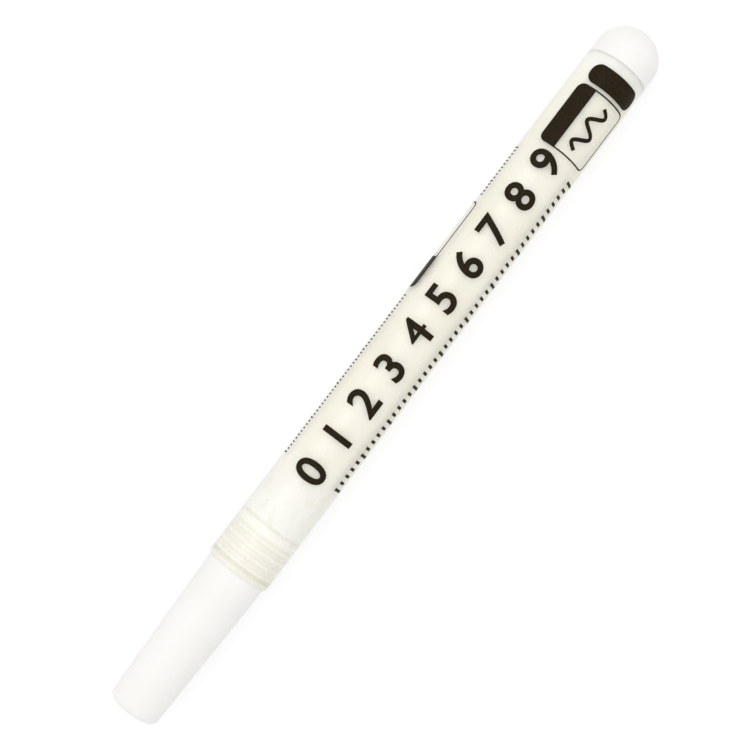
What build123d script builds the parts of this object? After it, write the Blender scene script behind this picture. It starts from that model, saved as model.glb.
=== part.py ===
from build123d import *

import os
from math import cos, pi, sin, sqrt

# A valve-action paint marker, lying on its side with its cap on. Sizes are in millimetres.
# X runs along the pen, from the cap's end to the tail, and Z = 0 is the surface under the barrel.

# Fits shared by all the pieces
FIT_GAP = 0.05  # radial play of a piece that is pressed into another
RUN_GAP = 0.08  # radial play of a piece that slides in another

# Barrel: a see-through tube that holds the paint
BARREL_DIAMETER = 11.6
BARREL_LENGTH = 105.5
BARREL_WALL = 1.0
BARREL_MOUTH_RIM = 0.55  # wall left round the pocket of the front section's flange
BARREL_RIM_ROUND = 0.4
BARREL_REAR_CHAMFER = 0.15

# Tail plug: a hollow domed stopper in the barrel's rear end
TAIL_LENGTH = 8.0  # what shows behind the barrel
TAIL_INSET = 0.05  # how far its side lies inside the barrel's
TAIL_DOME_HEIGHT = 5.0
TAIL_DOME_CORNER = 3.6
TAIL_SKIRT_LENGTH = 8.0
TAIL_SKIRT_WALL = 0.9
TAIL_END_WALL = 1.6
TAIL_HOLLOW_CHAMFER = 1.5
TAIL_RIB_SETBACK = 1.6  # of a rib's middle from each end of the skirt

# Cap: a tapered sleeve that is closed by a crowned end, as narrow there as the inner cap lets it be
CAP_LENGTH = 29.0
CAP_MOUTH_DIAMETER = 10.8
CAP_MOUTH_WALL = 1.0
CAP_MOUTH_CHAMFER = 0.2
CAP_BODY_WALL = 0.9
CAP_END_WALL = 1.6
CAP_END_CROWN = 0.5
CAP_END_ROUND = 1.2
CAP_GRIP_SPARE = 0.8  # of the straight bore past the front section's cap seat
CAP_STEP_LENGTH = 0.8

# Inner cap: a thin cup pressed into the cap, which seals round the nose
INNER_CAP_WALL = 0.6
INNER_CAP_END_WALL = 0.7
INNER_CAP_OVERLAP = 1.8  # of the sealing land
INNER_CAP_RING_LENGTH = 0.8
INNER_CAP_LEAD = 0.25

# Front section: the nose that guides the nib, with a ribbed plug in the barrel's mouth
NOSE_LENGTH = 16.6
NOSE_MOUTH_WALL = 0.55
NOSE_MOUTH_CHAMFER = 0.25
NOSE_CONE_LENGTH = 2.2
SEAL_LAND_DIAMETER = 6.0
SEAL_LAND_LENGTH = 3.0
CAP_SEAT_LENGTH = 8.6
CAP_SEAT_GAP = 0.12
SNAP_BEAD_GAP = 0.05  # left between the bead and the cap
SNAP_BEAD_WIDTH = 0.8
SNAP_BEAD_SETBACK = 4.5
FLANGE_THICKNESS = 0.8
PLUG_LENGTH = 10.6
PLUG_WALL = 0.95  # between the ribs and the valve seat's pocket
PLUG_LEAD = 0.2
RIB_COUNT = 4
RIB_PITCH = 1.7
RIB_WIDTH = 1.0
RIB_HEIGHT = 0.35
RIB_FIRST = 1.6  # middle of the first rib, from the barrel's front face
REAR_RIB_SETBACK = 0.9
GUIDE_LENGTH = 6.0
CHAMBER_GAP = 0.3  # round the carrier's collar

# Nib and its carrier: the plunger that the writing hand presses in
NIB_DIAMETER = 1.0
NIB_POINT_DIAMETER = 0.7
NIB_POINT_TAPER = 0.7
NIB_REACH = 1.8  # past the carrier
NIB_LENGTH = 15.5
CARRIER_DIAMETER = 3.44
CARRIER_PRESSED_REACH = 0.8  # past the nose when it is pressed in
CARRIER_CONE_LENGTH = 2.3
CARRIER_TIP_DIAMETER = 1.7
CARRIER_COLLAR_STEP = 0.4  # past the guide's bore
CARRIER_COLLAR_LENGTH = 1.2
CARRIER_ROD_DIAMETER = 2.4
CARRIER_REAR = 0.4  # behind the barrel's front face
FLUTE_COUNT = 4
FLUTE_WIDTH = 0.7
FLUTE_DEPTH = 0.45
FEED_WINDOW_LENGTH = 2.0
FEED_WINDOW_WIDTH = 0.8

# Valve: seat, stem, seal, spring and cage
VALVE_TRAVEL = 1.8
VALVE_STOP_GAP = 0.1  # left between the spigot and the cage when the nib is pressed in
SEAT_FRONT = 2.0  # from the barrel's front face
SEAT_BORE_DIAMETER = 3.0
SEAT_FLANGE_GAP = 0.5  # way for the paint round the flange
SEAT_FLANGE_THICKNESS = 1.0
SEAT_BOSS_HEIGHT = 0.8
SEAT_LIP_HEIGHT = 0.4
SEAT_LIP_WIDTH = 0.5
STEM_NECK_DIAMETER = 1.8
STEM_NECK_LENGTH = 2.0
STEM_WEB = 0.8
STEM_HEAD_DIAMETER = 5.2
STEM_HEAD_THICKNESS = 1.0
STEM_SPIGOT_DIAMETER = 2.8
STEM_SPIGOT_CHAMFER = 0.3
SEAL_INSET = 0.1  # from the head's edge
SEAL_THICKNESS = 0.8
SPRING_LENGTH = 6.0
SPRING_MEAN_DIAMETER = 4.1
SPRING_WIRE = 0.4
SPRING_TURNS = 6
SPRING_WIRE_SIDES = 6
CAGE_INNER_SHARE = 0.3125  # of the way from the head to the barrel that lies inside the cage
CAGE_WALL = 0.6
CAGE_END_WALL = 0.8
CAGE_FLANGE_THICKNESS = 0.8
CAGE_HOLE_DIAMETER = 1.6
CAGE_REAR_CHAMFER = 0.4
CAGE_WINDOW_COUNT = 4
CAGE_WINDOW_WIDTH = 2.2
CAGE_WINDOW_MARGIN = 0.8  # wall left at each end of a window

# Mixing balls: loose in the paint, at rest against the tail plug
BALL_DIAMETER = 5.0
BALL_GAP = 0.1

# Places along X
OVERALL_LENGTH = CAP_LENGTH + BARREL_LENGTH + TAIL_LENGTH
CAP_END = -OVERALL_LENGTH / 2
CAP_FLOOR = CAP_END + CAP_END_WALL
BARREL_FRONT = CAP_END + CAP_LENGTH
BARREL_REAR = BARREL_FRONT + BARREL_LENGTH
TAIL_END = BARREL_REAR + TAIL_LENGTH
NOSE_MOUTH = BARREL_FRONT - NOSE_LENGTH
LAND_FRONT = NOSE_MOUTH + NOSE_CONE_LENGTH
INNER_CAP_FRONT = LAND_FRONT + INNER_CAP_OVERLAP
GUIDE_REAR = NOSE_MOUTH + GUIDE_LENGTH
PLUG_REAR = BARREL_FRONT + PLUG_LENGTH
CARRIER_TIP = NOSE_MOUTH - CARRIER_PRESSED_REACH - VALVE_TRAVEL
CARRIER_END = BARREL_FRONT + CARRIER_REAR
NIB_TIP = CARRIER_TIP - NIB_REACH
NIB_END = NIB_TIP + NIB_LENGTH
POCKET_FRONT = BARREL_FRONT + SEAT_FRONT
SEAT_REAR = PLUG_REAR + SEAT_FLANGE_THICKNESS
BOSS_REAR = SEAT_REAR + SEAT_BOSS_HEIGHT
SEAL_FRONT = BOSS_REAR + SEAT_LIP_HEIGHT
HEAD_FRONT = SEAL_FRONT + SEAL_THICKNESS
HEAD_REAR = HEAD_FRONT + STEM_HEAD_THICKNESS
CAGE_FLOOR = HEAD_REAR + SPRING_LENGTH
CAGE_REAR = CAGE_FLOOR + CAGE_END_WALL
SKIRT_FRONT = BARREL_REAR - TAIL_SKIRT_LENGTH

# Radii about the pen's axis
BARREL_RADIUS = BARREL_DIAMETER / 2
AXIS_HEIGHT = BARREL_RADIUS
BORE_RADIUS = BARREL_RADIUS - BARREL_WALL
FLANGE_POCKET_RADIUS = BARREL_RADIUS - BARREL_MOUTH_RIM
FLANGE_RADIUS = FLANGE_POCKET_RADIUS - FIT_GAP
PLUG_RADIUS = BORE_RADIUS - FIT_GAP
PLUG_ROOT_RADIUS = PLUG_RADIUS - RIB_HEIGHT
TAIL_RADIUS = BARREL_RADIUS - TAIL_INSET
TAIL_BORE_RADIUS = PLUG_ROOT_RADIUS - TAIL_SKIRT_WALL
CAP_MOUTH_RADIUS = CAP_MOUTH_DIAMETER / 2
CAP_GRIP_RADIUS = CAP_MOUTH_RADIUS - CAP_MOUTH_WALL
CAP_SEAT_RADIUS = CAP_GRIP_RADIUS - CAP_SEAT_GAP
LAND_RADIUS = SEAL_LAND_DIAMETER / 2
INNER_CAP_BORE_RADIUS = LAND_RADIUS + FIT_GAP
INNER_CAP_RADIUS = INNER_CAP_BORE_RADIUS + INNER_CAP_WALL
CAP_FLOOR_RADIUS = INNER_CAP_RADIUS + FIT_GAP + CAP_BODY_WALL
NIB_RADIUS = NIB_DIAMETER / 2
NIB_BORE_RADIUS = NIB_RADIUS + FIT_GAP
CARRIER_RADIUS = CARRIER_DIAMETER / 2
GUIDE_RADIUS = CARRIER_RADIUS + RUN_GAP
COLLAR_RADIUS = GUIDE_RADIUS + CARRIER_COLLAR_STEP
POCKET_RADIUS = PLUG_ROOT_RADIUS - PLUG_WALL
SEAT_RADIUS = POCKET_RADIUS - FIT_GAP
SEAT_FLANGE_RADIUS = BORE_RADIUS - SEAT_FLANGE_GAP
SEAT_BORE_RADIUS = SEAT_BORE_DIAMETER / 2
STEM_RADIUS = SEAT_BORE_RADIUS - RUN_GAP
HEAD_RADIUS = STEM_HEAD_DIAMETER / 2
CAGE_BORE_RADIUS = HEAD_RADIUS + CAGE_INNER_SHARE * (BORE_RADIUS - HEAD_RADIUS - CAGE_WALL)
CAGE_RADIUS = CAGE_BORE_RADIUS + CAGE_WALL
BALL_RADIUS = BALL_DIAMETER / 2

PEN_AXIS = Axis((0, 0, AXIS_HEIGHT), (1, 0, 0))
SECTION = Plane.XY.offset(AXIS_HEIGHT)  # a profile's own y is its radius


def across(x):
    """The plane square to the pen at x: its own x is +Y and its own y is +Z."""
    return Plane(origin=(x, 0, AXIS_HEIGHT), x_dir=(0, 1, 0), z_dir=(1, 0, 0))


def cap_radius(x):
    """Outer radius of the tapered cap at x."""
    share = (BARREL_FRONT - x) / (BARREL_FRONT - CAP_FLOOR)
    return CAP_MOUTH_RADIUS + (CAP_FLOOR_RADIUS - CAP_MOUTH_RADIUS) * share


def dome_joint(radius, height, corner):
    """Where a dome's corner arc meets its crown: how far above the dome's foot, and from the axis."""
    inset = radius - corner
    rise = height - corner
    depth = (inset**2 - rise**2) / (2 * rise)
    stretch = (height + depth) / sqrt(inset**2 + depth**2)
    return depth * (stretch - 1), inset * stretch


def ring_edges(part, radius):
    """The part's circular edges of one radius, from the cap's end to the tail."""
    circles = part.edges().filter_by(GeomType.CIRCLE)
    return circles.filter_by(lambda edge: abs(edge.radius - radius) < 1e-6).sort_by(Axis.X)


def rib_profile():
    """A pointed sealing rib that stands on a plug's root."""
    Polygon((-RIB_WIDTH / 2, 0), (0, RIB_HEIGHT), (RIB_WIDTH / 2, 0), align=None)


# Barrel
with BuildPart() as barrel:
    with BuildSketch(SECTION):
        with BuildLine():
            Polyline(
                (BARREL_FRONT, FLANGE_POCKET_RADIUS),
                (BARREL_FRONT, BARREL_RADIUS),
                (BARREL_REAR, BARREL_RADIUS),
                (BARREL_REAR, BORE_RADIUS),
                (BARREL_FRONT + FLANGE_THICKNESS, BORE_RADIUS),
                (BARREL_FRONT + FLANGE_THICKNESS, FLANGE_POCKET_RADIUS),
                close=True,
            )
        make_face()
    revolve(axis=PEN_AXIS)
    rims = ring_edges(barrel.part, BARREL_RADIUS)
    fillet(rims[0], min(BARREL_RIM_ROUND, 0.8 * BARREL_MOUTH_RIM))
    chamfer(rims[-1], BARREL_REAR_CHAMFER)

# Tail plug: a dome behind the barrel and a ribbed skirt inside it, hollow from the skirt into the dome
dome_foot = TAIL_END - TAIL_DOME_HEIGHT
joint_rise, joint_radius = dome_joint(TAIL_RADIUS, TAIL_DOME_HEIGHT, TAIL_DOME_CORNER)
hollow_end = TAIL_END - TAIL_END_WALL
with BuildPart() as tail_plug:
    with BuildSketch(SECTION):
        with BuildLine():
            skirt = Polyline(
                (SKIRT_FRONT, TAIL_BORE_RADIUS),
                (SKIRT_FRONT, PLUG_ROOT_RADIUS),
                (BARREL_REAR, PLUG_ROOT_RADIUS),
                (BARREL_REAR, TAIL_RADIUS),
                (dome_foot, TAIL_RADIUS),
            )
            corner = TangentArc(skirt @ 1, (dome_foot + joint_rise, joint_radius), tangent=skirt % 1)
            crown = TangentArc(corner @ 1, (TAIL_END, 0), tangent=corner % 1)
            Polyline(
                crown @ 1,
                (hollow_end, 0),
                (hollow_end, TAIL_BORE_RADIUS - TAIL_HOLLOW_CHAMFER),
                (hollow_end - TAIL_HOLLOW_CHAMFER, TAIL_BORE_RADIUS),
                skirt @ 0,
            )
        make_face()
        with Locations(
            (SKIRT_FRONT + TAIL_RIB_SETBACK, PLUG_ROOT_RADIUS),
            (BARREL_REAR - TAIL_RIB_SETBACK, PLUG_ROOT_RADIUS),
        ):
            rib_profile()
    revolve(axis=PEN_AXIS)

# Cap: tapered outside, a straight grip bore at its mouth, then a tapered hollow down to its end wall
grip_front = BARREL_FRONT - CAP_SEAT_LENGTH - CAP_GRIP_SPARE
taper_front = grip_front - CAP_STEP_LENGTH
crown_foot = CAP_END + CAP_END_CROWN
with BuildPart() as cap:
    with BuildSketch(SECTION) as cap_profile:
        with BuildLine():
            crown = TangentArc((CAP_END, 0), (crown_foot, cap_radius(crown_foot)), tangent=(0, 1))
            Polyline(
                crown @ 1,
                (BARREL_FRONT, CAP_MOUTH_RADIUS),
                (BARREL_FRONT, CAP_GRIP_RADIUS),
                (grip_front, CAP_GRIP_RADIUS),
                (taper_front, cap_radius(taper_front) - CAP_BODY_WALL),
                (CAP_FLOOR, CAP_FLOOR_RADIUS - CAP_BODY_WALL),
                (CAP_FLOOR, 0),
                crown @ 0,
            )
        make_face()
        fillet(cap_profile.vertices().sort_by(Axis.X)[1], CAP_END_ROUND)
    revolve(axis=PEN_AXIS)
    chamfer(ring_edges(cap.part, CAP_MOUTH_RADIUS), CAP_MOUTH_CHAMFER)

# Inner cap: it stands on the cap's end wall, and a ring at its mouth centres it in the taper
ring_rear = INNER_CAP_FRONT - INNER_CAP_RING_LENGTH
ring_radius = cap_radius(ring_rear) - CAP_BODY_WALL - FIT_GAP
with BuildPart() as inner_cap:
    with BuildSketch(SECTION):
        with BuildLine():
            Polyline(
                (CAP_FLOOR, 0),
                (CAP_FLOOR, INNER_CAP_RADIUS),
                (ring_rear, INNER_CAP_RADIUS),
                (ring_rear, ring_radius),
                (INNER_CAP_FRONT, ring_radius),
                (INNER_CAP_FRONT, INNER_CAP_BORE_RADIUS + INNER_CAP_LEAD),
                (INNER_CAP_FRONT - INNER_CAP_LEAD, INNER_CAP_BORE_RADIUS),
                (CAP_FLOOR + INNER_CAP_END_WALL, INNER_CAP_BORE_RADIUS),
                (CAP_FLOOR + INNER_CAP_END_WALL, 0),
                close=True,
            )
        make_face()
    revolve(axis=PEN_AXIS)

# Front section: nose, sealing land, cap seat with its snap bead, flange and ribbed plug
mouth_radius = GUIDE_RADIUS + NOSE_MOUTH_WALL
chamber_radius = COLLAR_RADIUS + CHAMBER_GAP
bead_middle = BARREL_FRONT - SNAP_BEAD_SETBACK
rib_middle = BARREL_FRONT + RIB_FIRST + RIB_PITCH * (RIB_COUNT - 1) / 2
with BuildPart() as front_section:
    with BuildSketch(SECTION):
        with BuildLine():
            Polyline(
                (NOSE_MOUTH, GUIDE_RADIUS),
                (NOSE_MOUTH, mouth_radius - NOSE_MOUTH_CHAMFER),
                (NOSE_MOUTH + NOSE_MOUTH_CHAMFER, mouth_radius),
                (LAND_FRONT, LAND_RADIUS),
                (LAND_FRONT + SEAL_LAND_LENGTH, LAND_RADIUS),
                (BARREL_FRONT - CAP_SEAT_LENGTH, CAP_SEAT_RADIUS),
                (bead_middle - SNAP_BEAD_WIDTH / 2, CAP_SEAT_RADIUS),
                (bead_middle, CAP_GRIP_RADIUS - SNAP_BEAD_GAP),
                (bead_middle + SNAP_BEAD_WIDTH / 2, CAP_SEAT_RADIUS),
                (BARREL_FRONT, CAP_SEAT_RADIUS),
                (BARREL_FRONT, FLANGE_RADIUS),
                (BARREL_FRONT + FLANGE_THICKNESS, FLANGE_RADIUS),
                (BARREL_FRONT + FLANGE_THICKNESS, PLUG_ROOT_RADIUS),
                (PLUG_REAR - PLUG_LEAD, PLUG_ROOT_RADIUS),
                (PLUG_REAR, PLUG_ROOT_RADIUS - PLUG_LEAD),
                (PLUG_REAR, POCKET_RADIUS),
                (POCKET_FRONT, POCKET_RADIUS),
                (POCKET_FRONT, chamber_radius),
                (GUIDE_REAR, chamber_radius),
                (GUIDE_REAR, GUIDE_RADIUS),
                close=True,
            )
        make_face()
        with Locations((rib_middle, PLUG_ROOT_RADIUS)):
            with GridLocations(RIB_PITCH, 1, RIB_COUNT, 1):
                rib_profile()
        with Locations((PLUG_REAR - REAR_RIB_SETBACK, PLUG_ROOT_RADIUS)):
            rib_profile()
    revolve(axis=PEN_AXIS)

# Nib: a fibre rod with a rounded point
point_radius = NIB_POINT_DIAMETER / 2
with BuildPart() as nib:
    with BuildSketch(SECTION):
        with BuildLine():
            point = TangentArc((NIB_TIP, 0), (NIB_TIP + point_radius, point_radius), tangent=(0, 1))
            Polyline(
                point @ 1,
                (NIB_TIP + point_radius + NIB_POINT_TAPER, NIB_RADIUS),
                (NIB_END, NIB_RADIUS),
                (NIB_END, 0),
                point @ 0,
            )
        make_face()
    revolve(axis=PEN_AXIS)

# Nib carrier: a plunger with a blind bore for the nib, flutes for the paint and a retaining collar
cone_rear = CARRIER_TIP + CARRIER_CONE_LENGTH
collar_rear = GUIDE_REAR + CARRIER_COLLAR_LENGTH
with BuildPart() as nib_carrier:
    with BuildSketch(SECTION):
        with BuildLine():
            Polyline(
                (CARRIER_TIP, NIB_BORE_RADIUS),
                (CARRIER_TIP, CARRIER_TIP_DIAMETER / 2),
                (cone_rear, CARRIER_RADIUS),
                (GUIDE_REAR, CARRIER_RADIUS),
                (GUIDE_REAR, COLLAR_RADIUS),
                (collar_rear, COLLAR_RADIUS),
                (collar_rear, CARRIER_ROD_DIAMETER / 2),
                (CARRIER_END, CARRIER_ROD_DIAMETER / 2),
                (CARRIER_END, 0),
                (NIB_END, 0),
                (NIB_END, NIB_BORE_RADIUS),
                close=True,
            )
        make_face()
    revolve(axis=PEN_AXIS)
    with BuildSketch(across(cone_rear)):
        with PolarLocations(CARRIER_RADIUS - FLUTE_DEPTH, FLUTE_COUNT):
            Rectangle(COLLAR_RADIUS, FLUTE_WIDTH, align=(Align.MIN, Align.CENTER))
    extrude(amount=collar_rear - cone_rear, mode=Mode.SUBTRACT)
    with BuildSketch(Plane(origin=(NIB_END, 0, AXIS_HEIGHT))):
        Rectangle(FEED_WINDOW_LENGTH, FEED_WINDOW_WIDTH)
    extrude(amount=CARRIER_ROD_DIAMETER, both=True, mode=Mode.SUBTRACT)

# Valve seat: an insert in the front section's rear, with a sealing lip and a boss for the cage
boss_radius = CAGE_BORE_RADIUS - FIT_GAP
lip_radius = SEAT_BORE_RADIUS + SEAT_LIP_WIDTH
with BuildPart() as valve_seat:
    with BuildSketch(SECTION):
        with BuildLine():
            Polyline(
                (POCKET_FRONT, SEAT_BORE_RADIUS),
                (POCKET_FRONT, SEAT_RADIUS),
                (PLUG_REAR, SEAT_RADIUS),
                (PLUG_REAR, SEAT_FLANGE_RADIUS),
                (SEAT_REAR, SEAT_FLANGE_RADIUS),
                (SEAT_REAR, boss_radius),
                (BOSS_REAR, boss_radius),
                (BOSS_REAR, lip_radius),
                (SEAL_FRONT, lip_radius),
                (SEAL_FRONT, SEAT_BORE_RADIUS),
                close=True,
            )
        make_face()
    revolve(axis=PEN_AXIS)

# Valve stem: a cross-shaped rod that paint can pass, a neck for the seal, a head and a spigot
neck_front = HEAD_FRONT - STEM_NECK_LENGTH
spigot_radius = STEM_SPIGOT_DIAMETER / 2
spigot_end = CAGE_FLOOR - VALVE_TRAVEL - VALVE_STOP_GAP
with BuildPart() as valve_stem:
    with BuildSketch(SECTION):
        with BuildLine():
            Polyline(
                (CARRIER_END, 0),
                (CARRIER_END, STEM_RADIUS),
                (neck_front, STEM_RADIUS),
                (neck_front, STEM_NECK_DIAMETER / 2),
                (HEAD_FRONT, STEM_NECK_DIAMETER / 2),
                (HEAD_FRONT, HEAD_RADIUS),
                (HEAD_REAR, HEAD_RADIUS),
                (HEAD_REAR, spigot_radius),
                (spigot_end - STEM_SPIGOT_CHAMFER, spigot_radius),
                (spigot_end, spigot_radius - STEM_SPIGOT_CHAMFER),
                (spigot_end, 0),
                close=True,
            )
        make_face()
    revolve(axis=PEN_AXIS)
    with BuildSketch(across(CARRIER_END)):
        with GridLocations(STEM_RADIUS + STEM_WEB, STEM_RADIUS + STEM_WEB, 2, 2):
            Rectangle(STEM_RADIUS, STEM_RADIUS)
    extrude(amount=neck_front - CARRIER_END, mode=Mode.SUBTRACT)

# Stem seal: a rubber washer between the stem's head and the seat's lip
with BuildPart() as stem_seal:
    with BuildSketch(across(SEAL_FRONT)):
        Circle(HEAD_RADIUS - SEAL_INSET)
        Circle(STEM_NECK_DIAMETER / 2 + FIT_GAP, mode=Mode.SUBTRACT)
    extrude(amount=SEAL_THICKNESS)


# Valve spring: a helix of tangent arcs, two to each half turn
def coil_point(turn):
    """Middle of the wire after some turns."""
    rise = (SPRING_LENGTH - SPRING_WIRE) * turn / SPRING_TURNS
    angle = 2 * pi * turn
    radius = SPRING_MEAN_DIAMETER / 2
    return Vector(
        HEAD_REAR + SPRING_WIRE / 2 + rise,
        radius * sin(angle),
        AXIS_HEIGHT + radius * cos(angle),
    )


def coil_tangent(turn):
    """Direction of the wire after some turns."""
    lead = (SPRING_LENGTH - SPRING_WIRE) / SPRING_TURNS
    angle = 2 * pi * turn
    around = pi * SPRING_MEAN_DIAMETER
    return Vector(lead, around * cos(angle), -around * sin(angle)).normalized()


def coil_arcs(turn, step):
    """Two arcs along the helix, tangent to it at both ends and to each other."""
    start = coil_point(turn)
    finish = coil_point(turn + step)
    out = coil_tangent(turn)
    back = coil_tangent(turn + step)
    chord = finish - start
    along = chord.dot(out + back)
    bend = 2 * (1 - out.dot(back))
    reach = (sqrt(along**2 + bend * chord.dot(chord)) - along) / bend
    middle = (start + finish + (out - back) * reach) * 0.5
    first = TangentArc(start, middle, tangent=out)
    TangentArc(middle, finish, tangent=first % 1)


def coil_gap(samples_per_turn):
    """Least distance between two turns of the wire, surface to surface."""
    count = SPRING_TURNS * samples_per_turn
    points = [coil_point(i / samples_per_turn) for i in range(count + 1)]
    half_turn = samples_per_turn // 2
    apart = [
        (points[j] - points[i]).length
        for i in range(count + 1)
        for j in range(i + half_turn, min(i + 2 * samples_per_turn, count + 1))
    ]
    return min(apart) - SPRING_WIRE


with BuildPart() as valve_spring:
    with BuildLine() as coil:
        for half in range(2 * SPRING_TURNS):
            coil_arcs(half / 2, 1 / 2)
    with BuildSketch(Plane(origin=coil_point(0), z_dir=coil_tangent(0))):
        RegularPolygon(SPRING_WIRE / 2, SPRING_WIRE_SIDES)
    sweep(path=coil.wires()[0])
print("least gap of the spring to itself, mm:", round(coil_gap(48), 3))

# Spring cage: a windowed cup over the seat's boss, which holds the spring's rear end
window_front = SEAT_REAR + CAGE_FLANGE_THICKNESS + CAGE_WINDOW_MARGIN
window_rear = CAGE_FLOOR - CAGE_WINDOW_MARGIN
with BuildPart() as spring_cage:
    with BuildSketch(SECTION):
        with BuildLine():
            Polyline(
                (SEAT_REAR, CAGE_BORE_RADIUS),
                (SEAT_REAR, SEAT_FLANGE_RADIUS),
                (SEAT_REAR + CAGE_FLANGE_THICKNESS, SEAT_FLANGE_RADIUS),
                (SEAT_REAR + CAGE_FLANGE_THICKNESS, CAGE_RADIUS),
                (CAGE_REAR - CAGE_REAR_CHAMFER, CAGE_RADIUS),
                (CAGE_REAR, CAGE_RADIUS - CAGE_REAR_CHAMFER),
                (CAGE_REAR, CAGE_HOLE_DIAMETER / 2),
                (CAGE_FLOOR, CAGE_HOLE_DIAMETER / 2),
                (CAGE_FLOOR, CAGE_BORE_RADIUS),
                close=True,
            )
        make_face()
    revolve(axis=PEN_AXIS)
    with BuildSketch(across(window_front)):
        with PolarLocations(CAGE_BORE_RADIUS + CAGE_WALL / 2, CAGE_WINDOW_COUNT, start_angle=45):
            Rectangle(3 * CAGE_WALL, CAGE_WINDOW_WIDTH)
    extrude(amount=window_rear - window_front, mode=Mode.SUBTRACT)

# Mixing balls: they lie on the bore's underside, the rear one against the rim of the tail plug's skirt
ball_drop = BORE_RADIUS - BALL_RADIUS - BALL_GAP
rim_reach = sqrt(BALL_RADIUS**2 - (TAIL_BORE_RADIUS - ball_drop) ** 2)
rear_ball_middle = SKIRT_FRONT - rim_reach - BALL_GAP
front_ball_middle = rear_ball_middle - BALL_DIAMETER - BALL_GAP
with BuildPart() as mixing_ball_rear:
    with Locations((rear_ball_middle, 0, AXIS_HEIGHT - ball_drop)):
        Sphere(BALL_RADIUS)
with BuildPart() as mixing_ball_front:
    with Locations((front_ball_middle, 0, AXIS_HEIGHT - ball_drop)):
        Sphere(BALL_RADIUS)

pieces = {
    "barrel": barrel,
    "tail_plug": tail_plug,
    "cap": cap,
    "inner_cap": inner_cap,
    "front_section": front_section,
    "nib": nib,
    "nib_carrier": nib_carrier,
    "valve_seat": valve_seat,
    "valve_stem": valve_stem,
    "stem_seal": stem_seal,
    "valve_spring": valve_spring,
    "spring_cage": spring_cage,
    "mixing_ball_front": mixing_ball_front,
    "mixing_ball_rear": mixing_ball_rear,
}
os.makedirs("parts", exist_ok=True)
for name, piece in pieces.items():
    piece.part.label = name
    export_step(piece.part, f"parts/{name}.step")
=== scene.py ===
"""A valve-action paint marker lying on a white table: finishes, paint, print, light and camera."""

import math

import bmesh
import bpy
from mathutils import Matrix, Vector


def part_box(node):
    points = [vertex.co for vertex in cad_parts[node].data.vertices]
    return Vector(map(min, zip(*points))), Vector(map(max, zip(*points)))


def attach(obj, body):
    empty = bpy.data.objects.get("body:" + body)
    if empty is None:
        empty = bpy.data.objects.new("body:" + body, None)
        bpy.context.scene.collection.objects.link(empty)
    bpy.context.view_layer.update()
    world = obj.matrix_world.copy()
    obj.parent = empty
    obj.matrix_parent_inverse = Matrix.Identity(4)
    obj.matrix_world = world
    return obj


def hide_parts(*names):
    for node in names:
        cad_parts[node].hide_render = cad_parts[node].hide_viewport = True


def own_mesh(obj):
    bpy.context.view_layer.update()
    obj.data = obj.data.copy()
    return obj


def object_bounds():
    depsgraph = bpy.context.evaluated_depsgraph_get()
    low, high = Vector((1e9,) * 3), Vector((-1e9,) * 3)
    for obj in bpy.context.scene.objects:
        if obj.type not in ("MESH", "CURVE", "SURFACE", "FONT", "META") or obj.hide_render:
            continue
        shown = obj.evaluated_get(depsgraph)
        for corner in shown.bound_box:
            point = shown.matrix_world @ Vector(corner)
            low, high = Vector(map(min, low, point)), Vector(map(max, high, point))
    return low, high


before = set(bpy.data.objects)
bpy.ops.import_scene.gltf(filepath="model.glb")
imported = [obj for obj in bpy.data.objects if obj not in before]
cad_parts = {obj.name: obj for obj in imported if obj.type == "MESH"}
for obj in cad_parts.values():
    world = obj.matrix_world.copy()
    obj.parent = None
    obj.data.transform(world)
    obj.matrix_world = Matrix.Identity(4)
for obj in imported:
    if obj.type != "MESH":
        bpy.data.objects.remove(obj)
cad_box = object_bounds()
MM = 0.001

# The barrel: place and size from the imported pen, and the thickness of its wall
barrel_low, barrel_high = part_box("barrel")
BARREL_FRONT = barrel_low.x
BARREL_LENGTH = barrel_high.x - barrel_low.x
BARREL_RADIUS = (barrel_high.y - barrel_low.y) / 2
BARREL_WALL = 1.0 * MM
BORE_RADIUS = BARREL_RADIUS - BARREL_WALL
AXIS_HEIGHT = (barrel_high.z + barrel_low.z) / 2

# Film of paint on the bore; lengths are from the barrel's front edge
WETTING = 0.02 * MM  # how far the film lies in the wall, so that no air is left between them
FILM_THICKNESS = 0.09 * MM
FILM_START = 9.5 * MM
FILM_LOBES = ((3, 0.05 * MM, 0.4), (7, 0.03 * MM, 2.1), (13, 0.02 * MM, 5.0))  # waves round, depth, phase
FILM_STEPS = 180
FILM_EDGE = 0.3 * MM
FILM_REAR_GAP = 0.02 * MM

# Colour of the paint: paler near the front, where it is fresh, and painted lighter over the skirt of the tail
# plug, as painted light that lifts the shade in the corner at the barrel's rear
FRESH_PAINT = (13.0 * MM, 24.0 * MM)
FRESH_COLOUR = (0.893, 0.890, 0.842)
REAR_PAINTED_LIGHT = (99.5 * MM, 104.0 * MM)
REAR_PAINTED_LIGHT_COLOUR = (0.93, 0.925, 0.885)
THIN_SPOT_SCALE = 620
THIN_SPOT_STRETCH = (0.6, 1, 1)
THIN_SPOT_NOISE = (0.54, 0.66)  # noise at which a spot begins, and at which it is full
THIN_SPOT_SHARE = 0.3
THIN_SPOT_COLOUR = (0.62, 0.57, 0.42)

# Drops of paint behind the plug
DROP_COUNT = 34
DROP_ZONE = (12.4 * MM, 19.4 * MM)
DROP_RADII = (0.12 * MM, 0.38 * MM)
DROP_SWING = (7.3, 1.1)  # step and phase of the swing in size from drop to drop
DROP_HEIGHT_SHARE = 0.2
DROP_PROUD = 0.04 * MM
DROP_SUBDIVISIONS = 3
GOLDEN_TURN = math.radians(137.508)

# Valve spring
WIRE_RADIUS = 0.195 * MM
WIRE_SIDES = 12
SPRING_TURNS = 6
STEPS_PER_TURN = 36
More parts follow.
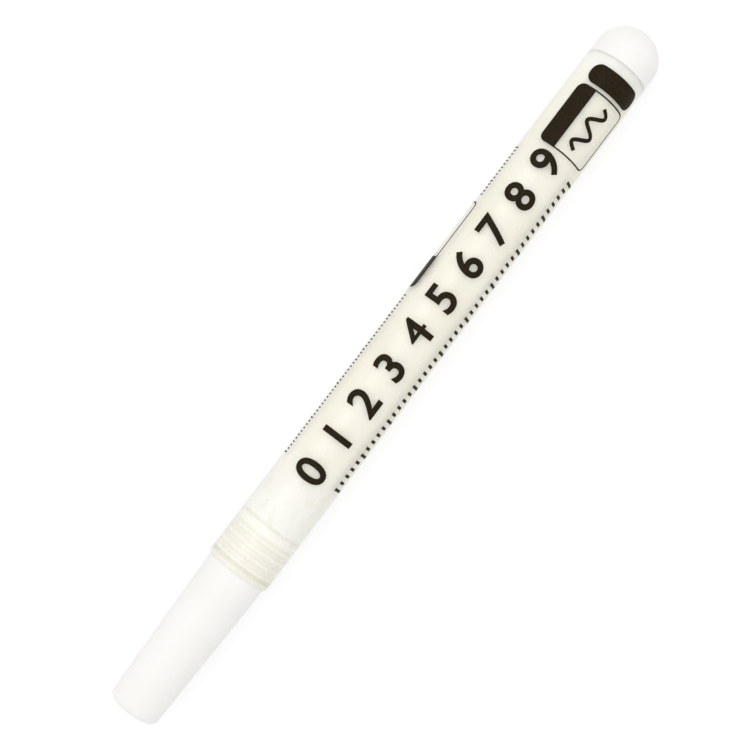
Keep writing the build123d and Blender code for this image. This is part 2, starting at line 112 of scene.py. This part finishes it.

# Painted shade on the front section, mixed into its colour: in the grooves of its plug, paler towards the
# front, and on its collar
GROOVE_REACH = 0.7 * MM
GROOVE_OPENNESS = (0.917, 0.98)  # ambient occlusion at which the shade is full, and at which there is none
GROOVE_SHADE_SHARE = 0.34
GROOVE_FADE = (1.0 * MM, 1.7 * MM)
GROOVE_FADE_SHARE = 0.42
PAINTED_SHADE_COLOUR = (0.46, 0.34, 0.18)
COLLAR_INSIDE = BORE_RADIUS + 0.2 * MM
COLLAR_SHADE_SHARE = 0.2

# Noise in the finishes: the values that stand for its two ends, and its fineness
MOTTLE_ENDS = (0.35, 0.65)
MOTTLE_DETAIL = 3
GRAIN_ENDS = (0.3, 0.7)
GRAIN_DETAIL = 2
RELIEF_DETAIL = 4

# Meshes
SAME_PLACE = 0.0001 * MM
SHARP_ANGLE = math.radians(40)

# Print on the barrel: lengths along it from its front edge, and across it from the top line towards +Y
INK_THICKNESS = 0.02 * MM
INK_LIFT = 0.003 * MM
INK_BOTTOM = BARREL_RADIUS + INK_LIFT
WRAP_STEP = 0.25 * MM
CORNER_STEPS = 8
MITRE_LIMIT = 1.8
LINE_WIDTH = 0.27 * MM

NUMERALS = "0123456789"
NUMERAL_FIRST = 20.6 * MM
NUMERAL_PITCH = 7.1 * MM
NUMERAL_HEIGHT = 5.6 * MM
NUMERAL_MIDDLE = 0.25 * MM
NUMERAL_BOLDNESS = 0.17 * MM
NUMERAL_CURVE_STEPS = 6

TICKS_PER_NUMERAL = 5
TICK_BASE = -5.5 * MM
TICK_SHORT = 1.4 * MM
TICK_LONG = 2.2 * MM
TICK_WIDTH = 0.55 * MM

FRAME_ALONG = (87.2 * MM, 99.2 * MM)
FRAME_ACROSS = (-6.9 * MM, 3.97 * MM)
FRAME_CORNER = 1.3 * MM
HEADER_BOTTOM = 0.67 * MM
WAVE_ALONG = (88.9 * MM, 97.5 * MM)
WAVE_MIDDLE = -2.3 * MM
WAVE_HEIGHT = 1.25 * MM
WAVE_TURNS = 2
WAVE_WIDTH = 0.7 * MM
WAVE_STEPS = 64

PANEL_ALONG = (55.0 * MM, 73.0 * MM)
PANEL_ACROSS = (6.3 * MM, 11.5 * MM)
PANEL_CORNER = 1.2 * MM
PANEL_HEAD = 6.5 * MM

FINE_TICKS_PER_NUMERAL = 10
FINE_BASE = 6.9 * MM
FINE_SHORT = 0.8 * MM
FINE_LONG = 1.3 * MM
FINE_WIDTH = 0.28 * MM
FINE_CLEARANCE = 1.5 * MM
FINE_GAP = (PANEL_ALONG[0] - FINE_CLEARANCE, PANEL_ALONG[1] + FINE_CLEARANCE)

BAND_ALONG = (99.8 * MM, 103.5 * MM)
BAND_ACROSS = (-6.8 * MM, 3.75 * MM)
BAND_CORNER = 1.7 * MM

# View: the pen's axis seen from almost straight above
IMAGE_SIZE = 750
FOCAL_PIXELS = 1430
SENSOR = 36.0
CLIP = (0.01, 10)
AIM = Vector((-2.56 * MM, 1.43 * MM, AXIS_HEIGHT))
VIEW_DISTANCE = 239.5 * MM
VIEW_TILT = math.radians(2.7)
AXIS_SLOPE = math.radians(52.8)

# Light: the surroundings and the floor light the pen at a plain level, and are white where they are seen
WORLD_LEVEL = 0.95
WHITE_LEVEL = 1.0
KEY_PLACE = Vector((0.05, 0.175, 0.41))  # metres
KEY_SIZE = 0.36
KEY_POWER = 0.345  # watts
FLOOR_HALF = 3.0
FLOOR_ALBEDO = 0.75
FLOOR_GLOW = 0.68
FLOOR_SHADOW_SHARE = 0.36  # the part of the seen floor's white that the pen's shadow can take


# Shader nodes

def set_up(node, **settings):
    """Sets a node's input sockets, or else its properties, by their names."""
    for name, value in settings.items():
        socket = name.replace("_", " ").title().replace("Ior", "IOR")
        if socket in node.inputs:
            node.inputs[socket].default_value = value
        else:
            setattr(node, name, value)


def add_node(tree, kind, **settings):
    """A new shader node with those settings."""
    node = tree.nodes.new(kind)
    set_up(node, **settings)
    return node


def calculate(tree, operation, first, second, **settings):
    """The result of a Math node; the second value is a socket or a number."""
    node = add_node(tree, "ShaderNodeMath", operation=operation, **settings)
    tree.links.new(first, node.inputs[0])
    if isinstance(second, bpy.types.NodeSocket):
        tree.links.new(second, node.inputs[1])
    else:
        node.inputs[1].default_value = second
    return node.outputs[0]


def remap(tree, value, given, wanted):
    """Carries a value from one pair of ends to another, and holds it at them."""
    node = add_node(
        tree, "ShaderNodeMapRange", from_min=given[0], from_max=given[1], to_min=wanted[0], to_max=wanted[1])
    tree.links.new(value, node.inputs["Value"])
    return node.outputs["Result"]


def object_place(tree):
    """Place in the object's own metres."""
    return add_node(tree, "ShaderNodeTexCoord").outputs["Object"]


def axis_distance(tree):
    """Distance from the pen's axis."""
    section = add_node(tree, "ShaderNodeMapping", location=(0, 0, -AXIS_HEIGHT), scale=(0, 1, 1))
    radius = add_node(tree, "ShaderNodeVectorMath", operation="LENGTH")
    tree.links.new(object_place(tree), section.inputs["Vector"])
    tree.links.new(section.outputs["Vector"], radius.inputs[0])
    return radius.outputs["Value"]


def along_barrel(tree, stretch, ends):
    """A value that goes from one end to the other over a stretch behind the barrel's front edge."""
    place = add_node(tree, "ShaderNodeSeparateXYZ")
    tree.links.new(object_place(tree), place.inputs["Vector"])
    return remap(tree, place.outputs["X"], [BARREL_FRONT + length for length in stretch], ends)


def noise(tree, scale, detail, stretch):
    """Noise in the object's own metres, stretched along the axes."""
    mapping = add_node(tree, "ShaderNodeMapping", scale=stretch)
    texture = add_node(tree, "ShaderNodeTexNoise", scale=scale, detail=detail)
    tree.links.new(object_place(tree), mapping.inputs["Vector"])
    tree.links.new(mapping.outputs["Vector"], texture.inputs["Vector"])
    return texture.outputs["Fac"]


# Materials

def vary_colour(tree, shader, factor, colours):
    """Base colour that wanders between two colours."""
    ramp = add_node(tree, "ShaderNodeValToRGB")
    for element, position, colour in zip(ramp.color_ramp.elements, MOTTLE_ENDS, colours):
        element.position = position
        element.color = (*colour, 1)
    tree.links.new(factor, ramp.inputs["Fac"])
    tree.links.new(ramp.outputs["Color"], shader.inputs["Base Color"])


def add_bump(tree, shader, factor, height):
    """Fine relief of that height in metres."""
    bump = add_node(tree, "ShaderNodeBump", strength=1, distance=height)
    tree.links.new(factor, bump.inputs["Height"])
    tree.links.new(bump.outputs["Normal"], shader.inputs["Normal"])


def mix_base_colour(tree, share, second):
    """Mixes a second colour into the base colour that is linked already."""
    colour = tree.nodes["Principled BSDF"].inputs["Base Color"]
    mixed = add_node(tree, "ShaderNodeMixRGB", color2=(*second, 1))
    tree.links.new(share, mixed.inputs["Fac"])
    tree.links.new(colour.links[0].from_socket, mixed.inputs["Color1"])
    tree.links.new(mixed.outputs["Color"], colour)


def finish_material(name, colours, roughness, mottle, grain, relief, stretch=(1, 1, 1), **sockets):
    """A finish with mottled colour, varied roughness and a fine relief; mottle and grain are per metre."""
    material = bpy.data.materials.new(name)
    material.use_nodes = True
    tree = material.node_tree
    shader = tree.nodes["Principled BSDF"]
    set_up(shader, **sockets)
    vary_colour(tree, shader, noise(tree, mottle, MOTTLE_DETAIL, stretch), colours)
    varied = remap(tree, noise(tree, grain, GRAIN_DETAIL, stretch), GRAIN_ENDS, roughness)
    tree.links.new(varied, shader.inputs["Roughness"])
    add_bump(tree, shader, noise(tree, grain, RELIEF_DETAIL, stretch), relief)
    return material


def clear_tube():
    """Frosted see-through polypropylene; only its outside bends light, as the bore is wet with paint."""
    material = finish_material(
        "clear_tube", colours=((0.955, 0.945, 0.90), (0.97, 0.96, 0.92)), roughness=(0.26, 0.36),
        mottle=260, grain=900, relief=0.006 * MM, stretch=(0.4, 1, 1),
        transmission_weight=0.8, ior=1.49)
    tree = material.node_tree
    outside = calculate(tree, "GREATER_THAN", axis_distance(tree), (BORE_RADIUS + BARREL_RADIUS) / 2)
    from_within = add_node(tree, "ShaderNodeNewGeometry").outputs["Backfacing"]
    solid = calculate(tree, "SUBTRACT", outside, from_within, use_clamp=True)
    tree.links.new(solid, tree.nodes["Principled BSDF"].inputs["Alpha"])
    return material


def white_plastic():
    """Opaque white moulded cap and tail."""
    return finish_material(
        "white_plastic", colours=((0.878, 0.864, 0.840), (0.896, 0.885, 0.864)), roughness=(0.36, 0.46),
        mottle=140, grain=1500, relief=0.006 * MM,
        subsurface_weight=0.15, subsurface_radius=(1.0, 0.9, 0.8), subsurface_scale=0.6 * MM, ior=1.5)


def nose_plastic():
    """Warm white moulded front section, with painted shade in the grooves of its plug and on its collar."""
    material = finish_material(
        "nose_plastic", colours=((0.928, 0.919, 0.828), (0.938, 0.931, 0.856)), roughness=(0.2, 0.32),
        mottle=300, grain=1800, relief=0.006 * MM,
        subsurface_weight=0.12, subsurface_radius=(1.0, 0.85, 0.7), subsurface_scale=0.5 * MM, ior=1.5)
    tree = material.node_tree
    # Painted shade: darker where ambient occlusion finds a groove, and on the collar by its distance from the
    # axis
    openness = add_node(tree, "ShaderNodeAmbientOcclusion", distance=GROOVE_REACH, only_local=True)
    groove = remap(tree, openness.outputs["AO"], GROOVE_OPENNESS, (GROOVE_SHADE_SHARE, 0))
    fade = along_barrel(tree, GROOVE_FADE, (GROOVE_FADE_SHARE, 1))
    faded_shade = calculate(tree, "MULTIPLY", groove, fade)
    collar = remap(tree, axis_distance(tree), (BORE_RADIUS, COLLAR_INSIDE), (0, COLLAR_SHADE_SHARE))
    mix_base_colour(tree, calculate(tree, "MAXIMUM", faded_shade, collar), PAINTED_SHADE_COLOUR)
    return material


def natural_plastic():
    """Milky uncoloured polyethylene of the inner pieces."""
    return finish_material(
        "natural_plastic", colours=((0.93, 0.92, 0.88), (0.95, 0.945, 0.91)), roughness=(0.32, 0.45),
        mottle=400, grain=2200, relief=0.005 * MM,
        subsurface_weight=0.3, subsurface_radius=(1.0, 0.9, 0.8), subsurface_scale=0.8 * MM, ior=1.5)


def nib_fibre():
    """Pressed acrylic fibre, in fine strands along the nib."""
    return finish_material(
        "nib_fibre", colours=((0.70, 0.68, 0.63), (0.86, 0.85, 0.81)), roughness=(0.75, 0.9),
        mottle=9000, grain=12000, relief=0.02 * MM, stretch=(0.06, 1, 1),
        sheen_weight=0.2, specular_ior_level=0.25)


def seal_rubber():
    """Black nitrile washer."""
    return finish_material(
        "seal_rubber", colours=((0.022, 0.022, 0.023), (0.036, 0.035, 0.034)), roughness=(0.55, 0.7),
        mottle=1500, grain=5000, relief=0.006 * MM)


def steel():
    """Bright drawn steel of the spring and the mixing balls."""
    return finish_material(
        "steel", colours=((0.62, 0.615, 0.60), (0.72, 0.715, 0.70)), roughness=(0.14, 0.26),
        mottle=700, grain=3500, relief=0.002 * MM, metallic=1.0)


def white_paint():
    """Wet white acrylic paint, paler near the front, painted lighter near the rear to lift the shade in the
    corner at the tail plug, and with thin spots at the front.
    """
    material = finish_material(
        "white_paint", colours=((0.845, 0.805, 0.675), (0.90, 0.872, 0.765)), roughness=(0.22, 0.34),
        mottle=180, grain=900, relief=0.015 * MM, stretch=(0.5, 1, 1), ior=1.45)
    tree = material.node_tree
    fresh = along_barrel(tree, FRESH_PAINT, (1, 0))
    mix_base_colour(tree, fresh, FRESH_COLOUR)
    # Painted light: the paint is made paler over the tail plug's skirt, where the corner at the barrel's rear
    # would be in shade
    mix_base_colour(tree, along_barrel(tree, REAR_PAINTED_LIGHT, (0, 1)), REAR_PAINTED_LIGHT_COLOUR)
    spot_noise = noise(tree, THIN_SPOT_SCALE, MOTTLE_DETAIL, THIN_SPOT_STRETCH)
    spots = remap(tree, spot_noise, THIN_SPOT_NOISE, (0, THIN_SPOT_SHARE))
    mix_base_colour(tree, calculate(tree, "MULTIPLY", fresh, spots), THIN_SPOT_COLOUR)
    return material


def print_ink():
    """Black screen print with the slight streaks of the mesh."""
    return finish_material(
        "print_ink", colours=((0.015, 0.010, 0.004), (0.024, 0.016, 0.007)), roughness=(0.34, 0.5),
        mottle=2600, grain=5200, relief=0.003 * MM, specular_ior_level=0.06)


def dress_nodes(metal):
    """Each CAD node in the finish of its slot."""
    finishes = (
        (clear_tube(), ("barrel",)),
        (white_plastic(), ("cap", "tail_plug")),
        (nose_plastic(), ("front_section",)),
        (natural_plastic(), ("inner_cap", "nib_carrier", "valve_seat", "valve_stem", "spring_cage")),
        (nib_fibre(), ("nib",)),
        (seal_rubber(), ("stem_seal",)),
        (metal, ("valve_spring", "mixing_ball_front", "mixing_ball_rear")),
    )
    for material, names in finishes:
        for name in names:
            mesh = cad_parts[name].data
            mesh.materials.clear()
            mesh.materials.append(material)


# Shapes

def round_barrel(along, across, radius):
    """The point at that length behind the barrel's front edge, arc from the top line, and radius."""
    turn = across / BARREL_RADIUS
    return Vector((BARREL_FRONT + along, radius * math.sin(turn), AXIS_HEIGHT + radius * math.cos(turn)))


def bridge(shape, first, second):
    """A band of faces between two closed rings of as many points."""
    for count in range(len(first)):
        after = (count + 1) % len(first)
        shape.faces.new((first[count], first[after], second[after], second[count]))


def merge(shape):
    """Makes points at the same place one."""
    bmesh.ops.remove_doubles(shape, verts=shape.verts, dist=SAME_PLACE)


def add_piece(name, shape, material):
    """A piece of the barrel from a finished bmesh."""
    mesh = bpy.data.meshes.new(name)
    bmesh.ops.recalc_face_normals(shape, faces=shape.faces)
    shape.to_mesh(mesh)
    shape.free()
    for polygon in mesh.polygons:
        polygon.use_smooth = True
    mesh.set_sharp_from_angle(angle=SHARP_ANGLE)
    mesh.materials.append(material)
    piece = bpy.data.objects.new(name, mesh)
    bpy.context.scene.collection.objects.link(piece)
    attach(piece, "barrel")
    return piece


def wire_ring(shape, middle, outward):
    """Points round the spring's wire, in the plane of the pen's axis and the outward direction."""
    ring = []
    for side in range(WIRE_SIDES):
        turn = math.tau * side / WIRE_SIDES
        offset = outward * math.cos(turn) + Vector((math.sin(turn), 0, 0))
        ring.append(shape.verts.new(middle + offset * WIRE_RADIUS))
    return ring


def spring_wire(material):
    """The valve spring as a coiled wire; the real one shortens towards its cage as the nib is pressed."""
    low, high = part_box("valve_spring")
    coil_radius = (high.y - low.y) / 2 - WIRE_RADIUS
    coil_length = high.x - low.x
    climb = coil_length - 2 * WIRE_RADIUS
    steps = SPRING_TURNS * STEPS_PER_TURN
    shape = bmesh.new()
    rings = []
    for step in range(steps + 1):
        share = step / steps
        angle = math.tau * SPRING_TURNS * share
        outward = Vector((0, math.sin(angle), math.cos(angle)))
        middle = Vector((low.x + WIRE_RADIUS + climb * share, 0, AXIS_HEIGHT)) + outward * coil_radius
        rings.append(wire_ring(shape, middle, outward))
    for ring, following in zip(rings, rings[1:]):
        bridge(shape, ring, following)
    shape.faces.new(rings[0])
    shape.faces.new(rings[-1])
    spring = add_piece("spring_wire", shape, material)
    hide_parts("valve_spring")
    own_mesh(spring)


def film_front(turn):
    """How far behind the barrel's front edge the paint film begins at that angle round the bore."""
    return FILM_START + sum(depth * math.sin(waves * turn + phase) for waves, depth, phase in FILM_LOBES)


def paint_film(material):
    """The film of paint on the bore, with an uneven front edge."""
    outer = BORE_RADIUS + WETTING
    inner = outer - FILM_THICKNESS
    rear = BARREL_LENGTH - FILM_REAR_GAP
    shape = bmesh.new()
    rings = []
    for step in range(FILM_STEPS):
        turn = math.tau * step / FILM_STEPS
        front = film_front(turn)
        across = turn * BARREL_RADIUS
        profile = ((front, (outer + inner) / 2), (front + FILM_EDGE, outer), (rear, outer),
                   (rear, inner), (front + FILM_EDGE, inner))
        rings.append([shape.verts.new(round_barrel(along, across, radius)) for along, radius in profile])
    for ring, following in zip(rings, rings[1:] + rings[:1]):
        bridge(shape, ring, following)
    add_piece("paint_film", shape, material)


def paint_drops(material):
    """Flat drops of paint that stand out of the film near its front edge."""
    shape = bmesh.new()
    for count in range(DROP_COUNT):
        share = (count + 0.5) / DROP_COUNT
        along = DROP_ZONE[0] + (DROP_ZONE[1] - DROP_ZONE[0]) * math.sqrt(share)
        across = count * GOLDEN_TURN % math.tau * BARREL_RADIUS
        swing = 0.5 + 0.5 * math.sin(DROP_SWING[0] * count + DROP_SWING[1])
        size = DROP_RADII[0] + (DROP_RADII[1] - DROP_RADII[0]) * swing ** 2
        made = bmesh.ops.create_icosphere(shape, subdivisions=DROP_SUBDIVISIONS, radius=size)
        for vert in made["verts"]:
            offset = vert.co.copy()
            radius = BORE_RADIUS + WETTING + DROP_PROUD + (offset.z - size) * DROP_HEIGHT_SHARE
            vert.co = round_barrel(along + offset.x, across + offset.y * BARREL_RADIUS / BORE_RADIUS, radius)
    add_piece("paint_drops", shape, material)


# Print

def inset(ends, width):
    """A stretch that is shorter by that width at both ends."""
    return ends[0] + width, ends[1] - width


def flat_points(shape, points):
    """New points of a flat print, from lengths along and across."""
    return [shape.verts.new((along, across, 0)) for along, across in points]


def add_polygon(shape, points):
    """A flat face through (along, across) points."""
    shape.faces.new(flat_points(shape, points))


def rounded(along, across, radii):
    """Outline of a rectangle; radii go round from the low corner towards +X."""
    corners = ((along[0], across[0], 1, 1), (along[1], across[0], -1, 1),
               (along[1], across[1], -1, -1), (along[0], across[1], 1, -1))
    points = []
    for quarter, ((x, y, right, up), radius) in enumerate(zip(corners, radii)):
        for step in range(CORNER_STEPS + 1):
            angle = math.pi * (1 + quarter / 2 + step / CORNER_STEPS / 2)
            points.append((x + radius * (right + math.cos(angle)), y + radius * (up + math.sin(angle))))
    return points


def add_outline(shape, along, across, radius):
    """A rounded frame line."""
    inside = max(radius - LINE_WIDTH, LINE_WIDTH)
    outer = rounded(along, across, (radius,) * 4)
    inner = rounded(inset(along, LINE_WIDTH), inset(across, LINE_WIDTH), (inside,) * 4)
    bridge(shape, flat_points(shape, outer), flat_points(shape, inner))


def wrap(shape):
    """Cuts a flat print into narrow strips and lays it round the barrel."""
    lowest = min(vert.co.y for vert in shape.verts)
    highest = max(vert.co.y for vert in shape.verts)
    for count in range(math.ceil(lowest / WRAP_STEP), math.floor(highest / WRAP_STEP) + 1):
        everything = shape.verts[:] + shape.edges[:] + shape.faces[:]
        bmesh.ops.bisect_plane(shape, geom=everything, plane_co=(0, count * WRAP_STEP, 0), plane_no=(0, 1, 0))
    merge(shape)
    for vert in shape.verts:
        vert.co = round_barrel(vert.co.x, vert.co.y, INK_BOTTOM)


def thicken(shape):
    """Gives a wrapped print its top, and walls along its border."""
    top = bmesh.ops.duplicate(shape, geom=shape.faces[:])
    rise = (INK_BOTTOM + INK_THICKNESS) / INK_BOTTOM
    raised = [item for item in top["geom"] if isinstance(item, bmesh.types.BMVert)]
    for vert in raised:
        vert.co.y *= rise
        vert.co.z = AXIS_HEIGHT + (vert.co.z - AXIS_HEIGHT) * rise
    twin = {low: high for low, high in top["vert_map"].items() if isinstance(low, bmesh.types.BMVert)}
    under = set(twin) - set(raised)
    border = [edge for edge in shape.edges if edge.is_boundary and edge.verts[0] in under]
    for edge in border:
        first, second = edge.verts
        shape.faces.new((first, second, twin[second], twin[first]))


def print_on_barrel(name, shape, material):
    """Makes a flat print a thin layer of ink round the barrel."""
    wrap(shape)
    thicken(shape)
    add_piece(name, shape, material)


def embolden(shape, width):
    """Moves the outline of a flat shape outwards by that width."""
    moves = {}
    for vert in shape.verts:
        sides = []
        for edge in vert.link_edges:
            if edge.is_boundary:
                along = edge.verts[1].co - edge.verts[0].co
                side = Vector((along.y, -along.x, 0)).normalized()
                inward = edge.link_faces[0].calc_center_median() - edge.verts[0].co
                sides.append(-side if side.dot(inward) > 0 else side)
        mitre = sum(sides, Vector())
        if mitre.length > 0:
            # Two unit sides add up to 2 where they are in line, and to less at a corner, which moves further.
            moves[vert] = mitre.normalized() * width * min(2 / mitre.length, MITRE_LIMIT)
    for vert, move in moves.items():
        vert.co += move


def gauge_place(numeral):
    """How far behind the front edge a numeral, or a share of the way to the next, stands."""
    return NUMERAL_FIRST + numeral * NUMERAL_PITCH


def add_numeral(shape, numeral, place):
    """A flat numeral with its middle at that place, smaller than it is printed by what makes it bold."""
    curve = bpy.data.curves.new("numeral", "FONT")
    curve.body = numeral
    curve.resolution_u = NUMERAL_CURVE_STEPS
    text = bpy.data.objects.new("numeral", curve)
    flat = bpy.data.meshes.new_from_object(text)
    low = Vector([min(vert.co[axis] for vert in flat.vertices) for axis in range(3)])
    high = Vector([max(vert.co[axis] for vert in flat.vertices) for axis in range(3)])
    scale = (NUMERAL_HEIGHT - 2 * NUMERAL_BOLDNESS) / (high.y - low.y)
    to_middle = Matrix.Translation((low + high) / -2)
    flat.transform(Matrix.Translation(place) @ Matrix.Scale(scale, 4) @ to_middle)
    shape.from_mesh(flat)
    bpy.data.objects.remove(text)
    bpy.data.curves.remove(curve)
    bpy.data.meshes.remove(flat)


def numerals(material):
    """One plain bold numeral at each main mark of the gauge."""
    shape = bmesh.new()
    for count, numeral in enumerate(NUMERALS):
        add_numeral(shape, numeral, (gauge_place(count), NUMERAL_MIDDLE, 0))
    merge(shape)
    embolden(shape, NUMERAL_BOLDNESS)
    print_on_barrel("print_numerals", shape, material)


def scale_marks(name, material, per_numeral, base, short, long, width, gap=(0, 0)):
    """A row of marks along the gauge, longer at the numerals, with a gap; lengths may point either way."""
    shape = bmesh.new()
    for count in range((len(NUMERALS) - 1) * per_numeral + 1):
        middle = gauge_place(count / per_numeral)
        if gap[0] < middle < gap[1]:
            continue
        front, rear = middle - width / 2, middle + width / 2
        low, high = sorted((base, base + (short if count % per_numeral else long)))
        add_polygon(shape, ((front, low), (rear, low), (rear, high), (front, high)))
    print_on_barrel(name, shape, material)


def add_wave(shape):
    """A wavy line, as wide as the pen draws it."""
    length = WAVE_ALONG[1] - WAVE_ALONG[0]
    points = []
    for step in range(WAVE_STEPS + 1):
        share = step / WAVE_STEPS
        angle = math.tau * WAVE_TURNS * share
        slope = WAVE_HEIGHT * math.cos(angle) * math.tau * WAVE_TURNS / length
        side = Vector((-slope, 1)).normalized() * WAVE_WIDTH / 2
        middle = Vector((WAVE_ALONG[0] + length * share, WAVE_MIDDLE + WAVE_HEIGHT * math.sin(angle)))
        points.append((middle - side, middle + side))
    for (low, high), (next_low, next_high) in zip(points, points[1:]):
        add_polygon(shape, (low, next_low, next_high, high))


def line_sample(material):
    """Frame with a bare header bar and a sample of the line that the pen draws."""
    shape = bmesh.new()
    add_outline(shape, FRAME_ALONG, FRAME_ACROSS, FRAME_CORNER)
    inner = FRAME_CORNER - LINE_WIDTH
    header = (HEADER_BOTTOM, FRAME_ACROSS[1] - LINE_WIDTH)
    add_polygon(shape, rounded(inset(FRAME_ALONG, LINE_WIDTH), header, (0, 0, inner, inner)))
    add_wave(shape)
    merge(shape)
    print_on_barrel("print_line_sample", shape, material)


def side_panel(material):
    """Bare panel on the +Y side, filled at its front end."""
    shape = bmesh.new()
    add_outline(shape, PANEL_ALONG, PANEL_ACROSS, PANEL_CORNER)
    inner = PANEL_CORNER - LINE_WIDTH
    head = (PANEL_ALONG[0] + LINE_WIDTH, PANEL_ALONG[0] + PANEL_HEAD)
    add_polygon(shape, rounded(head, inset(PANEL_ACROSS, LINE_WIDTH), (inner, 0, 0, inner)))
    print_on_barrel("print_side_panel", shape, material)


def rear_band(material):
    """Bare black band near the tail."""
    shape = bmesh.new()
    add_polygon(shape, rounded(BAND_ALONG, BAND_ACROSS, (BAND_CORNER,) * 4))
    print_on_barrel("print_rear_band", shape, material)


# Stage

def seen_directly(tree):
    """1 for a ray from the camera, a mirror or clear plastic, and 0 once it has met a dull surface."""
    path = add_node(tree, "ShaderNodeLightPath").outputs
    seen = path["Is Camera Ray"]
    for kind in ("Is Glossy Ray", "Is Transmission Ray"):
        seen = calculate(tree, "MAXIMUM", seen, path[kind])
    direct = calculate(tree, "LESS_THAN", path["Diffuse Depth"], 1)
    return calculate(tree, "MULTIPLY", seen, direct)


def white_world():
    """Even white surroundings: plain light on the object, white where they are seen."""
    world = bpy.data.worlds.new("surroundings")
    world.use_nodes = True
    tree = world.node_tree
    background = tree.nodes["Background"]
    background.inputs["Color"].default_value = (1, 1, 1, 1)
    level = remap(tree, seen_directly(tree), (0, 1), (WORLD_LEVEL, WHITE_LEVEL))
    tree.links.new(level, background.inputs["Strength"])
    bpy.context.scene.world = world


def floor_material():
    """A grey that lights the pen, and where it is seen a white that keeps a faint shadow."""
    material = bpy.data.materials.new("floor")
    material.use_nodes = True
    tree = material.node_tree
    tree.nodes.remove(tree.nodes["Principled BSDF"])
    plain = add_node(tree, "ShaderNodeBsdfDiffuse", color=(*[FLOOR_ALBEDO] * 3, 1))
    faint = add_node(tree, "ShaderNodeBsdfDiffuse", color=(*[FLOOR_SHADOW_SHARE] * 3, 1))
    glow = add_node(tree, "ShaderNodeEmission", strength=FLOOR_GLOW)
    white = add_node(tree, "ShaderNodeAddShader")
    tree.links.new(faint.outputs["BSDF"], white.inputs[0])
    tree.links.new(glow.outputs["Emission"], white.inputs[1])
    choice = add_node(tree, "ShaderNodeMixShader")
    tree.links.new(seen_directly(tree), choice.inputs["Fac"])
    tree.links.new(plain.outputs["BSDF"], choice.inputs[1])
    tree.links.new(white.outputs["Shader"], choice.inputs[2])
    tree.links.new(choice.outputs["Shader"], tree.nodes["Material Output"].inputs["Surface"])
    return material


def white_floor():
    """Table that looks white and keeps the pen's soft shadow."""
    shape = bmesh.new()
    bmesh.ops.create_grid(shape, x_segments=1, y_segments=1, size=FLOOR_HALF)
    mesh = bpy.data.meshes.new("floor")
    shape.to_mesh(mesh)
    shape.free()
    mesh.materials.append(floor_material())
    floor = bpy.data.objects.new("floor", mesh)
    floor.location.z = cad_box[0].z
    bpy.context.scene.collection.objects.link(floor)


def key_light():
    """Large soft light from the pen's +Y side."""
    lamp = bpy.data.lights.new("key", "AREA")
    lamp.shape = "DISK"
    lamp.size = KEY_SIZE
    lamp.energy = KEY_POWER
    key = bpy.data.objects.new("key", lamp)
    key.location = KEY_PLACE
    key.rotation_mode = "QUATERNION"
    key.rotation_quaternion = (AIM - KEY_PLACE).to_track_quat("-Z", "Y")
    bpy.context.scene.collection.objects.link(key)


def camera():
    """The photograph's view: almost straight down, the tail towards the upper right."""
    data = bpy.data.cameras.new("camera")
    data.sensor_width = SENSOR
    data.lens = SENSOR * FOCAL_PIXELS / IMAGE_SIZE
    data.clip_start, data.clip_end = CLIP
    eye = bpy.data.objects.new("camera", data)
    bpy.context.scene.collection.objects.link(eye)
    eye.matrix_world = (
        Matrix.Translation(AIM) @ Matrix.Rotation(-VIEW_TILT, 4, "Y")
        @ Matrix.Rotation(-AXIS_SLOPE, 4, "Z") @ Matrix.Translation((0, 0, VIEW_DISTANCE)))
    bpy.context.scene.camera = eye


# The pen

metal = steel()
dress_nodes(metal)
spring_wire(metal)
paint = white_paint()
paint_film(paint)
paint_drops(paint)
ink = print_ink()
numerals(ink)
scale_marks("print_scale", ink, TICKS_PER_NUMERAL, TICK_BASE, -TICK_SHORT, -TICK_LONG, TICK_WIDTH)
scale_marks(
    "print_fine_scale", ink, FINE_TICKS_PER_NUMERAL, FINE_BASE, FINE_SHORT, FINE_LONG, FINE_WIDTH, FINE_GAP)
line_sample(ink)
side_panel(ink)
rear_band(ink)

# The table, the light and the view

white_world()
white_floor()
key_light()
camera()
bpy.context.scene.view_settings.view_transform = "Standard"
